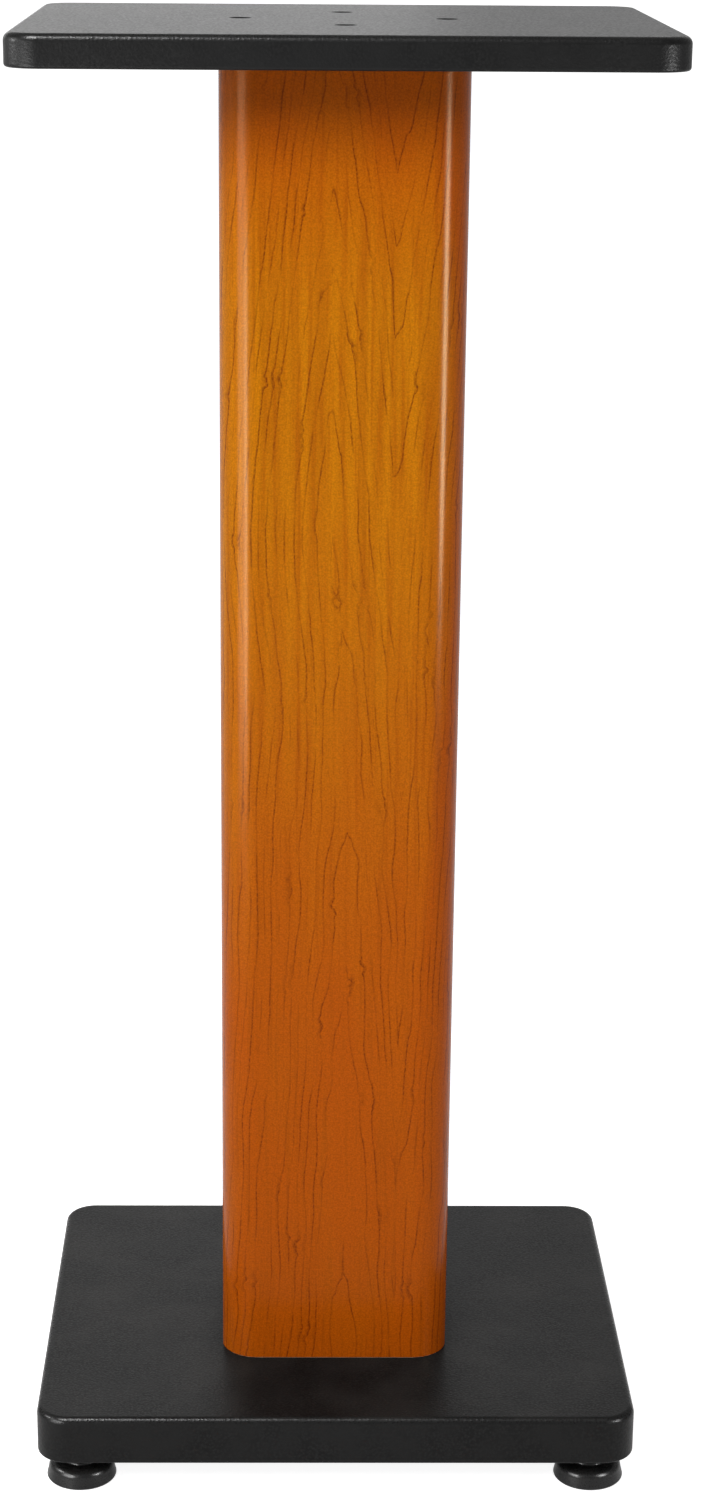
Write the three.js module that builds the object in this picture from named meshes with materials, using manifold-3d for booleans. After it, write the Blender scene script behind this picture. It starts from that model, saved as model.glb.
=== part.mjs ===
// Speaker stand: a top plate and a base plate of black board, screwed to the two ends of a
// hollow column that is wrapped in wood-grain film, on four screw-in feet that level it.
// Millimetres, +Z up. The front faces -Y, and the origin is on the floor under the middle.

import * as THREE from "three";
import { mergeVertices } from "three/addons/utils/BufferGeometryUtils.js";
import Module from "manifold-3d";

const wasm = await Module();
wasm.setup();

// ---- Driving dimensions ----

const plateWidth = 300;
const plateDepth = 250;
const plateCornerRadius = 16;
const plateTopRound = 3.5; // the routed round along a plate's upper edge
const plateBottomRound = 1.5; // the sanded round along its lower edge
const topPlateThickness = 15;
const basePlateThickness = 25;

const columnWidth = 116;
const columnDepth = 122;
const columnHeight = 653;
const columnCornerRadius = 18;
const panelThickness = 18;

const filmThickness = 0.4;
const filmGlueLine = 0.1;
const filmTrim = 0.5; // the film stops this short of each plate
const filmSeam = 0.3; // the butt joint of its two edges, down the middle of the back

const clearance = 0.3; // round a piece in its hole, and between turning pieces

const screwDiameter = 7;
const screwHeadDiameter = 9.5;
const screwHeadRim = 1.5; // the straight part of the head, above its cone
const screwTipLength = 3;
const screwTipDiameter = 3.5;
const screwSocketAcross = 4; // across the flats of the hex socket
const screwSocketDepth = 2.6;
const pilotExtra = 2; // how much deeper a hole is than the tip in it
const topScrewLength = 50;
const topScrewSink = 1.2; // from the plate's face down to the head
const baseScrewLength = 70;
const baseScrewSink = 4;

const footInset = 21.5; // from the plate's edges to the axis of a foot
const footHeight = 18; // from the floor to the base plate, with the foot wound in
const capDiameter = 35;
const capTopDiameter = 33;
const capShoulderRadius = 4;
const capHeight = 9.6; // from the floor to the cap's flat top
const capLift = 0.3; // the cap's rim stays this far off the floor
const capRimRound = 1.3;
const hubDiameter = 18;
const hubFillet = 1.5;
const soleDiameter = 30;
const soleThickness = 2;
const soleChamfer = 0.5;

const studDiameter = 6;
const studHeadAcross = 10; // across the flats of the bolt's hex head
const studHeadHeight = 4;
const studChamfer = 1;
const nutDiameter = 10;
const nutLength = 13;
const nutFlangeDiameter = 14;
const nutFlangeThickness = 1.5;
const boardOverFoot = 5; // the board left above a foot's blind hole
const studTipRoom = 2; // from the tip of the wound-in stud to the end of that hole

// ---- Places that follow from them ----

const baseBottom = footHeight;
const baseTop = baseBottom + basePlateThickness;
const columnTop = baseTop + columnHeight;
const filmAllowance = filmThickness + filmGlueLine;
const coreWidth = columnWidth - 2 * filmAllowance;
const coreDepth = columnDepth - 2 * filmAllowance;
const coreCornerRadius = columnCornerRadius - filmAllowance;
const wallCentreX = (coreWidth - panelThickness) / 2;
const wallCentreY = (coreDepth - panelThickness) / 2;
const footHoleDepth = basePlateThickness - boardOverFoot;
const studTip = baseBottom + footHoleDepth - studTipRoom;

const screwPlaces = { front: [0, -1], back: [0, 1], left: [-1, 0], right: [1, 0] };
const footPlaces = {
  front_left: [-1, -1],
  front_right: [1, -1],
  back_left: [-1, 1],
  back_right: [1, 1],
};

// ---- Materials ----

const finish = (color, roughness, metalness = 0) =>
  new THREE.MeshStandardMaterial({ color, roughness, metalness });

const blackBoard = finish(0x1b1b1c, 0.5);
const rawBoard = finish(0xa98458, 0.9);
const cherryFilm = finish(0xa8510f, 0.35);
const blackSteel = finish(0x19191b, 0.4, 1);
const zincSteel = finish(0xb9bcc0, 0.35, 1);
const blackPlastic = finish(0x0d0d0e, 0.2);
const blackRubber = finish(0x161616, 0.85);

// ---- Shapes ----

const cornerSegments = 3; // a quarter circle gets twice as many sides
const roundSegments = 3;
const turnedSegments = 24;
const smallTurnedSegments = 16;
const overlap = 1; // how far a cutting shape runs past the face that it opens

// A closed geometry as a solid that can be cut, joined and intersected.
function solid(geometry) {
  const bare = geometry.index ? geometry.toNonIndexed() : geometry.clone();
  bare.deleteAttribute("normal");
  bare.deleteAttribute("uv");
  const merged = mergeVertices(bare, 1e-4);
  return new wasm.Manifold(
    new wasm.Mesh({
      numProp: 3,
      vertProperties: new Float32Array(merged.attributes.position.array),
      triVerts: new Uint32Array(merged.index.array),
    }),
  );
}

// A named mesh from a solid.
function piece(name, shape, material) {
  const { vertProperties, triVerts } = shape.getMesh();
  const geometry = new THREE.BufferGeometry();
  geometry.setAttribute("position", new THREE.BufferAttribute(vertProperties, 3));
  geometry.setIndex(new THREE.BufferAttribute(triVerts, 1));
  geometry.computeVertexNormals();
  const mesh = new THREE.Mesh(geometry, material);
  mesh.name = name;
  return mesh;
}

// A rectangle with rounded corners, centred on the origin.
function roundedRectangle(width, depth, radius) {
  const x = width / 2;
  const y = depth / 2;
  const quarter = Math.PI / 2;
  const shape = new THREE.Shape();
  shape.moveTo(radius - x, -y);
  shape.absarc(x - radius, radius - y, radius, -quarter, 0);
  shape.absarc(x - radius, y - radius, radius, 0, quarter);
  shape.absarc(radius - x, y - radius, radius, quarter, 2 * quarter);
  shape.absarc(radius - x, radius - y, radius, 2 * quarter, 3 * quarter);
  return shape;
}

// An upright prism on the plane z = 0, with both end faces rounded over if round is given.
function prism(shape, height, round = 0) {
  return new THREE.ExtrudeGeometry(shape, {
    depth: height - 2 * round,
    curveSegments: cornerSegments,
    bevelEnabled: round > 0,
    bevelThickness: round,
    bevelSize: round,
    bevelOffset: -round,
    bevelSegments: roundSegments,
  }).translate(0, 0, round);
}

// A box given by its lowest corner and its size.
function block(x, y, z, width, depth, height) {
  return solid(
    new THREE.BoxGeometry(width, depth, height).translate(
      x + width / 2,
      y + depth / 2,
      z + height / 2,
    ),
  );
}

// A turned solid from its [radius, z] outline, written from the bottom up on the outside.
function turned(outline, segments) {
  const points = outline.map(([radius, z]) => new THREE.Vector2(radius, z));
  return solid(new THREE.LatheGeometry(points, segments).rotateX(Math.PI / 2));
}

// A hexagonal bar from z = bottom up, across the flats.
function hexagon(across, bottom, height) {
  const radius = across / Math.sqrt(3);
  const bar = new THREE.CylinderGeometry(radius, radius, height, 6);
  return solid(bar.rotateX(Math.PI / 2).translate(0, 0, bottom + height / 2));
}

// Points of a quarter circle from one angle to another, in degrees, for an outline.
function arc(radius, z, bend, from, to) {
  const step = (to - from) / roundSegments;
  return Array.from({ length: roundSegments + 1 }, (_, i) => {
    const angle = THREE.MathUtils.degToRad(from + i * step);
    return [radius + bend * Math.cos(angle), z + bend * Math.sin(angle)];
  });
}

// ---- Screws: the head's face is at z = 0 and the tip points down ----

function screwOutline(length, grow, open, deeper) {
  const shank = screwDiameter / 2 + grow;
  const head = screwHeadDiameter / 2 + grow;
  const cone = head - shank;
  return [
    [0, -length - deeper],
    [screwTipDiameter / 2 + grow, -length - deeper],
    [shank, screwTipLength - length - deeper],
    [shank, -screwHeadRim - cone - grow],
    [head, -screwHeadRim - grow],
    [head, open],
    [0, open],
  ];
}

function screw(length) {
  const socket = hexagon(screwSocketAcross, -screwSocketDepth, screwSocketDepth + overlap);
  return turned(screwOutline(length, 0, 0, 0), smallTurnedSegments).subtract(socket);
}

// The hole that a screw lies in, open from its head outwards.
function screwHole(length, sink) {
  return turned(
    screwOutline(length, clearance, sink + overlap, pilotExtra),
    smallTurnedSegments,
  );
}

const turnOver = (shape) => shape.rotate([180, 0, 0]);
const placesOfScrews = Object.entries(screwPlaces).map(([side, [i, j]]) => ({
  side,
  x: i * wallCentreX,
  y: j * wallCentreY,
}));
const topHeadZ = columnTop + topPlateThickness - topScrewSink;
const baseHeadZ = baseBottom + baseScrewSink;

// Cuts every screw's hole out of a plate or panel.
function drillForScrews(board) {
  const fromTop = screwHole(topScrewLength, topScrewSink);
  const fromBelow = turnOver(screwHole(baseScrewLength, baseScrewSink));
  return placesOfScrews.reduce(
    (drilled, { x, y }) =>
      drilled
        .subtract(fromTop.translate([x, y, topHeadZ]))
        .subtract(fromBelow.translate([x, y, baseHeadZ])),
    board,
  );
}

function screws(end, length, z, turn, material) {
  return placesOfScrews.map(({ side, x, y }) => {
    const mesh = piece(`${end}_screw_${side}`, turn(screw(length)), material);
    mesh.position.set(x, y, z);
    return mesh;
  });
}

// ---- Plates ----

// A plate whose upper and lower edges have rounds of their own.
function plate(thickness, bottomZ) {
  const outline = roundedRectangle(plateWidth, plateDepth, plateCornerRadius);
  const spare = plateTopRound + plateBottomRound;
  const lower = solid(prism(outline, thickness + spare, plateBottomRound));
  const upper = solid(prism(outline, thickness + spare, plateTopRound));
  return lower.intersect(upper.translate([0, 0, -spare])).translate([0, 0, bottomZ]);
}

// The blind hole over a foot, with the step that the nut's flange lies in.
function footHole() {
  const bore = nutDiameter / 2 + clearance;
  const step = nutFlangeDiameter / 2 + clearance;
  const stepTop = nutFlangeThickness + clearance;
  const outline = [
    [0, -overlap],
    [step, -overlap],
    [step, stepTop],
    [bore, stepTop],
    [bore, footHoleDepth],
    [0, footHoleDepth],
  ];
  return turned(outline, smallTurnedSegments).translate([0, 0, baseBottom]);
}

const placesOfFeet = Object.entries(footPlaces).map(([corner, [i, j]]) => ({
  corner,
  x: i * (plateWidth / 2 - footInset),
  y: j * (plateDepth / 2 - footInset),
}));

function topPlate() {
  return piece("top_plate", drillForScrews(plate(topPlateThickness, columnTop)), blackBoard);
}

function basePlate() {
  const drilled = drillForScrews(plate(basePlateThickness, baseBottom));
  const board = placesOfFeet.reduce(
    (left, { x, y }) => left.subtract(footHole().translate([x, y, 0])),
    drilled,
  );
  return piece("base_plate", board, blackBoard);
}

// ---- Column ----

// The four panels: front and back run across the full width, and the sides stand between them.
function columnPanels() {
  const x = coreWidth / 2;
  const y = coreDepth / 2;
  const innerY = y - panelThickness;
  const outline = roundedRectangle(coreWidth, coreDepth, coreCornerRadius);
  const core = solid(prism(outline, columnHeight)).translate([0, 0, baseTop]);
  const across = [coreWidth, panelThickness, columnHeight];
  const between = [panelThickness, 2 * innerY, columnHeight];
  const panels = {
    front: block(-x, -y, baseTop, ...across),
    back: block(-x, innerY, baseTop, ...across),
    left: block(-x, -innerY, baseTop, ...between),
    right: block(x - panelThickness, -innerY, baseTop, ...between),
  };
  return Object.entries(panels).map(([side, box]) =>
    piece(`column_${side}_panel`, drillForScrews(core.intersect(box)), rawBoard),
  );
}

// The film goes once round the four panels, and its two edges meet at the back.
function columnFilm() {
  const height = columnHeight - 2 * filmTrim;
  const sheet = roundedRectangle(columnWidth, columnDepth, columnCornerRadius);
  const inner = columnCornerRadius - filmThickness;
  sheet.holes.push(
    roundedRectangle(
      columnWidth - 2 * filmThickness,
      columnDepth - 2 * filmThickness,
      inner,
    ),
  );
  const seam = block(
    -filmSeam / 2,
    columnDepth / 2 - filmThickness - overlap,
    -overlap,
    filmSeam,
    filmThickness + 2 * overlap,
    height + 2 * overlap,
  );
  const wrapped = solid(prism(sheet, height)).subtract(seam);
  return piece("column_film", wrapped.translate([0, 0, baseTop + filmTrim]), cherryFilm);
}

// ---- Feet, round the axis x = y = 0 ----

const studHeadBottom = soleThickness + 2 * clearance;
const studHeadTop = studHeadBottom + studHeadHeight;
const hubTop = footHeight - clearance;

function insertNut() {
  const bore = studDiameter / 2 + clearance;
  const outline = [
    [bore, 0],
    [nutFlangeDiameter / 2, 0],
    [nutFlangeDiameter / 2, nutFlangeThickness],
    [nutDiameter / 2, nutFlangeThickness],
    [nutDiameter / 2, nutLength],
    [bore, nutLength],
    [bore, 0],
  ];
  return turned(outline, smallTurnedSegments).translate([0, 0, baseBottom]);
}

// The bolt: its hex head is let into the cap from below, and its shank screws into the nut.
function stud() {
  const shank = studDiameter / 2;
  const outline = [
    [0, studHeadBottom + overlap],
    [shank, studHeadBottom + overlap],
    [shank, studTip - studChamfer],
    [shank - studChamfer, studTip],
    [0, studTip],
  ];
  const head = hexagon(studHeadAcross, studHeadBottom, studHeadHeight);
  return head.add(turned(outline, smallTurnedSegments));
}

// The cap: a low bun with a hub, hollowed from below for the sole and the bolt's head.
function cap() {
  const seat = soleDiameter / 2 + clearance;
  const seatTop = soleThickness + clearance;
  const bore = studDiameter / 2 + clearance;
  const rim = capDiameter / 2 - capRimRound;
  const shoulder = capTopDiameter / 2 - capShoulderRadius;
  const hub = hubDiameter / 2;
  const outline = [
    [seat, capLift],
    ...arc(rim, capLift + capRimRound, capRimRound, -90, 0),
    ...arc(shoulder, capHeight - capShoulderRadius, capShoulderRadius, 0, 90),
    ...arc(hub + hubFillet, capHeight + hubFillet, hubFillet, 270, 180),
    [hub, hubTop],
    [bore, hubTop],
    [bore, seatTop],
    [seat, seatTop],
    [seat, capLift],
  ];
  const pocket = hexagon(
    studHeadAcross + 2 * clearance,
    seatTop - overlap,
    studHeadTop + clearance - seatTop + overlap,
  );
  return turned(outline, turnedSegments).subtract(pocket);
}

function sole() {
  const radius = soleDiameter / 2;
  const outline = [
    [0, 0],
    [radius - soleChamfer, 0],
    [radius, soleChamfer],
    [radius, soleThickness],
    [0, soleThickness],
  ];
  return turned(outline, turnedSegments);
}

function foot(corner, x, y) {
  const group = new THREE.Group();
  group.add(
    piece(`foot_${corner}_nut`, insertNut(), zincSteel),
    piece(`foot_${corner}_stud`, stud(), zincSteel),
    piece(`foot_${corner}_cap`, cap(), blackPlastic),
    piece(`foot_${corner}_sole`, sole(), blackRubber),
  );
  group.position.set(x, y, 0);
  return group;
}

// ---- The stand ----

const stand = new THREE.Group();
stand.add(
  topPlate(),
  basePlate(),
  ...columnPanels(),
  columnFilm(),
  ...screws("top", topScrewLength, topHeadZ, (shape) => shape, blackSteel),
  ...screws("base", baseScrewLength, baseHeadZ, turnOver, zincSteel),
  ...placesOfFeet.map(({ corner, x, y }) => foot(corner, x, y)),
);

export default stand;
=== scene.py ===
# %% [markdown]
# # A speaker stand
# The stand is a hollow column wrapped in wood-grain film, with a black coated board screwed to each end
# and four screw-in feet below. The construction model already gives every piece its place and size, so
# this lesson only models how each piece looks: its rounds, threads and sockets, and then its finish.
# Everything is in metres and in the construction model's own frame, so nothing has to be fitted.

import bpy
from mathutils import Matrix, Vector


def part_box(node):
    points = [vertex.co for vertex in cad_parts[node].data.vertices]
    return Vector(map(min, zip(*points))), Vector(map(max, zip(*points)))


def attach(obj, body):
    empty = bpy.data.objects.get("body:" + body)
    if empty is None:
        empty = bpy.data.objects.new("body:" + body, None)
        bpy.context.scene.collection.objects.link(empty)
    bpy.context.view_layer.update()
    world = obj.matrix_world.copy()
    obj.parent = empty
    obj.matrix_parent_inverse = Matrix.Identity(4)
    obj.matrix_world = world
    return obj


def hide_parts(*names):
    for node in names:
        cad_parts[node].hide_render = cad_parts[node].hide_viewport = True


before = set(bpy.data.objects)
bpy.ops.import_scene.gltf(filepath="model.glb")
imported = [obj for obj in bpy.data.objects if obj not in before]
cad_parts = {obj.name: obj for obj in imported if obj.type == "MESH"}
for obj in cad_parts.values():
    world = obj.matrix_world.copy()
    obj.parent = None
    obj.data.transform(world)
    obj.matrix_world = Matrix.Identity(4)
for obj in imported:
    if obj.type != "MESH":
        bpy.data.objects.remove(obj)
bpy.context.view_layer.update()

# %% Libraries and the unit
import math

import bmesh
import bpy
from mathutils import Matrix, Vector

MM = 0.001
scene = bpy.context.scene

# %% [markdown]
# ## The camera
# The photograph was taken from a little above the top plate, 1.45 m in front. Its uprights lean together
# only slightly, which says how long the lens is: about twice the height of the picture. The picture was
# cropped, so the lens's axis doesn't meet its middle. Blender's shift does the same and keeps the
# perspective, where a tilt would change it.

# %% Camera
photo_width = 703
photo_height = 1500
focal_length_in_pixels = 3033.8
lens_axis_pixel = Vector((324.5, 816.0))
camera_place = Vector((-26.1, -1467.4, 793.9)) * MM
turn_to_right = math.radians(0.77)
tilt_down = math.radians(17.967)
lean = math.radians(0.416)

camera_data = bpy.data.cameras.new("camera")
camera_data.sensor_width = 36.0
camera_data.lens = camera_data.sensor_width * focal_length_in_pixels / photo_height
camera_data.shift_x = (photo_width / 2 - lens_axis_pixel.x) / photo_height
camera_data.shift_y = (lens_axis_pixel.y - photo_height / 2) / photo_height
camera = bpy.data.objects.new("camera", camera_data)
camera.matrix_world = (
    Matrix.Translation(camera_place)
    @ Matrix.Rotation(-turn_to_right, 4, "Z")
    @ Matrix.Rotation(math.pi / 2 - tilt_down, 4, "X")
    @ Matrix.Rotation(lean, 4, "Z")
)
scene.collection.objects.link(camera)
scene.camera = camera
print("lens:", round(camera_data.lens, 2), "mm")

# %% [markdown]
# ## Small helpers for shader nodes
# A material is a graph, and written out in full it takes three lines a node. These helpers take a value
# or another node's socket for each input, so that a material below reads as a list of what it is made of.

# %% Node helpers
def add_node(tree, kind, inputs=(), **settings):
    """A new node. inputs is a dict from a socket's name or number to a value or to another node's socket."""
    node = tree.nodes.new(kind)
    for setting, value in settings.items():
        setattr(node, setting, value)
    for socket, value in dict(inputs).items():
        if isinstance(value, bpy.types.NodeSocket):
            tree.links.new(value, node.inputs[socket])
        else:
            node.inputs[socket].default_value = value
    return node


def calc(tree, operation, *values):
    """The result of a Math node on numbers or sockets."""
    return add_node(tree, "ShaderNodeMath", dict(enumerate(values)), operation=operation).outputs[0]


def times(tree, first, second):
    return calc(tree, "MULTIPLY", first, second)


def fade(tree, value, low, high, to_low=0.0, to_high=1.0):
    """A smooth step: to_low where value is below low, to_high where it is above high."""
    values = {0: value, 1: low, 2: high, 3: to_low, 4: to_high}
    return add_node(tree, "ShaderNodeMapRange", values, interpolation_type="SMOOTHSTEP").outputs[0]


def mix_colours(tree, amount, first, second, blend="MIX"):
    """first where amount is 0, second where it is 1."""
    values = {0: amount, 6: first, 7: second}
    return add_node(tree, "ShaderNodeMix", values, data_type="RGBA", blend_type=blend).outputs[2]


def noise(tree, place, scale, detail=2.0, roughness=0.5, distortion=0.0):
    """A noise value from 0 to 1 over a place, whose lumps are about 1 / scale across."""
    values = {"Vector": place, "Scale": scale, "Detail": detail}
    values.update({"Roughness": roughness, "Distortion": distortion})
    return add_node(tree, "ShaderNodeTexNoise", values).outputs[0]


def stretched(tree, place, scale):
    """A place scaled differently along each axis, to draw out a pattern."""
    return add_node(tree, "ShaderNodeMapping", {"Vector": place, "Scale": scale}).outputs[0]


def lumps_of(tree, flat, wide, tall, detail=1.0):
    """A noise value over a flat place in millimetres, in lumps about wide by tall."""
    return noise(tree, stretched(tree, flat, (1 / wide, 1 / tall, 1)), 1.0, detail=detail)


def new_group(name, takes, gives):
    """A shader node group. takes gives each input a value, or None for a place; gives names the outputs."""
    group = bpy.data.node_groups.new(name, "ShaderNodeTree")
    for label, value in takes.items():
        kind = "NodeSocketVector" if value is None else "NodeSocketFloat"
        socket = group.interface.new_socket(label, in_out="INPUT", socket_type=kind)
        if value is not None:
            socket.default_value = value
    for label in gives:
        group.interface.new_socket(label, in_out="OUTPUT", socket_type="NodeSocketFloat")
    return group, group.nodes.new("NodeGroupInput"), group.nodes.new("NodeGroupOutput")


def use_group(tree, group, inputs):
    """The outputs of a node group placed in a material or in another group."""
    return add_node(tree, "ShaderNodeGroup", inputs, node_tree=group).outputs


def new_material(name):
    """A new material, its node tree and its Principled shader, which is joined to the output."""
    material = bpy.data.materials.new(name)
    material.use_nodes = True
    tree = material.node_tree
    tree.nodes.clear()
    shader = tree.nodes.new("ShaderNodeBsdfPrincipled")
    output = tree.nodes.new("ShaderNodeOutputMaterial")
    tree.links.new(shader.outputs[0], output.inputs[0])
    return material, tree, shader


def finished(material, shader, colour, roughness, normal, specular=0.5):
    """The material, once its colour, roughness and normal are joined to its shader."""
    tree = material.node_tree
    shader.inputs["Specular IOR Level"].default_value = specular
    for socket, value in (("Base Color", colour), ("Roughness", roughness), ("Normal", normal)):
        tree.links.new(value, shader.inputs[socket])
    print(material.name + ":", len(tree.nodes), "nodes")
    return material


def object_place(tree):
    """The place in the object's own coordinates, in metres."""
    return tree.nodes.new("ShaderNodeTexCoord").outputs["Object"]


def bump(tree, height, depth, under=None):
    """A normal that follows a height from 0 to 1, which stands for depth in metres."""
    node = add_node(tree, "ShaderNodeBump", {"Height": height, "Distance": depth})
    if under is not None:
        tree.links.new(under, node.inputs["Normal"])
    return node.outputs[0]


# %% [markdown]
# ## Effects that several finishes share
# A pebbled skin is on the sprayed coating, the moulded caps, the rubber and even the film, each at its
# own size. Dust settles on whatever faces up. Turned metal has fine rings. Each is a node group, built
# once and placed in a material with its own values. A group gives out heights and masks only, and the
# shader that uses them stays in the material.

# %% Pebbled skin
pebbled_skin, skin_in, skin_out = new_group(
    "pebbled skin", {"Place": None, "Pebble Size": 0.001}, ("Height", "Patches")
)
skin_place = skin_in.outputs["Place"]
pebbles_per_metre = calc(pebbled_skin, "DIVIDE", 1.0, skin_in.outputs["Pebble Size"])
lumps = noise(pebbled_skin, skin_place, pebbles_per_metre, detail=1.5)
cell_values = {"Vector": skin_place, "Scale": pebbles_per_metre, "Smoothness": 0.6}
cells = add_node(pebbled_skin, "ShaderNodeTexVoronoi", cell_values, feature="SMOOTH_F1")
domes = calc(pebbled_skin, "SUBTRACT", 1.0, cells.outputs["Distance"])
skin_height = calc(pebbled_skin, "MULTIPLY_ADD", domes, 0.55, times(pebbled_skin, lumps, 0.45))
patches_per_metre = times(pebbled_skin, pebbles_per_metre, 0.06)
skin_patches = noise(pebbled_skin, skin_place, patches_per_metre)
pebbled_skin.links.new(skin_height, skin_out.inputs["Height"])
pebbled_skin.links.new(skin_patches, skin_out.inputs["Patches"])

# %% Settled dust
settled_dust, dust_in, dust_out = new_group("settled dust", {"Place": None, "Amount": 0.3}, ("Mask",))
dust_place = dust_in.outputs["Place"]
true_normal = settled_dust.nodes.new("ShaderNodeNewGeometry").outputs["Normal"]
facing = add_node(settled_dust, "ShaderNodeSeparateXYZ", {0: true_normal})
facing_up = fade(settled_dust, facing.outputs["Z"], 0.55, 0.98)
film_of_dust = fade(settled_dust, noise(settled_dust, dust_place, 22.0, detail=5.0), 0.38, 0.72)
specks = fade(settled_dust, noise(settled_dust, dust_place, 900.0, detail=1.0), 0.66, 0.74)
dust = calc(settled_dust, "MULTIPLY_ADD", specks, 0.6, times(settled_dust, film_of_dust, 0.4))
dust = times(settled_dust, times(settled_dust, dust, facing_up), dust_in.outputs["Amount"])
settled_dust.links.new(dust, dust_out.inputs["Mask"])

# %% Turning rings
turning_rings, rings_in, rings_out = new_group(
    "turning rings", {"Place": None, "Ring Pitch": 0.0002}, ("Height", "Blotches")
)
rings_per_metre = calc(turning_rings, "DIVIDE", 1.0, rings_in.outputs["Ring Pitch"])
flattened = stretched(turning_rings, rings_in.outputs["Place"], (0.02, 0.02, 1.0))
ring_height = noise(turning_rings, flattened, rings_per_metre, detail=1.0)
blotches = noise(turning_rings, rings_in.outputs["Place"], 260.0, detail=4.0)
turning_rings.links.new(ring_height, rings_out.inputs["Height"])
turning_rings.links.new(blotches, rings_out.inputs["Blotches"])
print("shared effects:", [group.name for group in bpy.data.node_groups])

# %% [markdown]
# ## Black board coating
# Both boards are sprayed with a black texture coat. It is matt and finely pebbled, so it holds no sharp
# reflection: seen along the surface it goes pale grey, and seen square on it is almost black. That change
# comes from the shader's own gloss, so the colour itself stays near black, with painted shade making it
# darker between the pebbles. The rounded edges are rubbed a little smoother, and their colour is a little
# paler, partly wear and partly a painted highlight along the rims. The mesh carries a mask for them, named
# edge.

# %% Black board coating
def make_board_coating():
    material, tree, shader = new_material("black board coating")
    place = object_place(tree)
    coarse = use_group(tree, pebbled_skin, {"Place": place, "Pebble Size": 1.25 * MM})
    fine = use_group(tree, pebbled_skin, {"Place": place, "Pebble Size": 0.5 * MM})
    dust = use_group(tree, settled_dust, {"Place": place, "Amount": 0.3})["Mask"]
    edge = add_node(tree, "ShaderNodeAttribute", attribute_name="edge").outputs["Fac"]
    painted_shade_between_pebbles, pebble_tops = (0.0004, 0.0004, 0.0005, 1), (0.0115, 0.0114, 0.0113, 1)
    worn_patches, rubbed_edges_and_painted_highlight = (0.0068, 0.0068, 0.0068, 1), (0.018, 0.0178, 0.0175, 1)
    grey_dust = (0.085, 0.080, 0.074, 1)
    # Painted shade: the colour is darker in the hollows between the pebbles than on their tops.
    colour = mix_colours(tree, fade(tree, coarse["Height"], 0.35, 0.75), painted_shade_between_pebbles, pebble_tops)
    colour = mix_colours(tree, fade(tree, coarse["Patches"], 0.3, 0.7), colour, worn_patches)
    # Painted highlight with a little wear: the colour of the rounded rims is paler.
    colour = mix_colours(tree, times(tree, edge, 0.35), colour, rubbed_edges_and_painted_highlight)
    colour = mix_colours(tree, dust, colour, grey_dust)
    roughness = fade(tree, coarse["Height"], 0.3, 0.8, 0.45, 0.33)
    roughness = calc(tree, "MULTIPLY_ADD", edge, -0.13, roughness)
    surface = bump(tree, fine["Height"], 0.035 * MM, bump(tree, coarse["Height"], 0.12 * MM))
    return finished(material, shader, colour, roughness, surface, 0.16)


board_coating = make_board_coating()

# %% [markdown]
# ## Cherry film: where the grain runs
# The film is printed with a flat-sawn board: growth rings cut at a slant, which show as nested pointed
# arches, as the upside-down arches of the neighbouring log, and as nearly straight lines beside them. A
# board's rings are the level lines of one smooth field, like contour lines on a map, so the shader builds
# that field first and draws a thin line wherever it passes a whole number. The field is a height in
# millimetres divided by the height of one ring: the arches' middle is a valley in it and the upside-down
# arches' middle a ridge. Places on the film are (distance round the column, height), from its own UV map.

# %% Ring field
print_width = 148.0
arch_middle_high = -5.0
arch_middle_low = 4.0
ridge_middle = 24.0
ridge_height = 186.0
ring_height_high = 32.0
ring_height_low = 84.0
rings_tighten_at = 455.0
rings_tighten_over = 50.0


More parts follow.
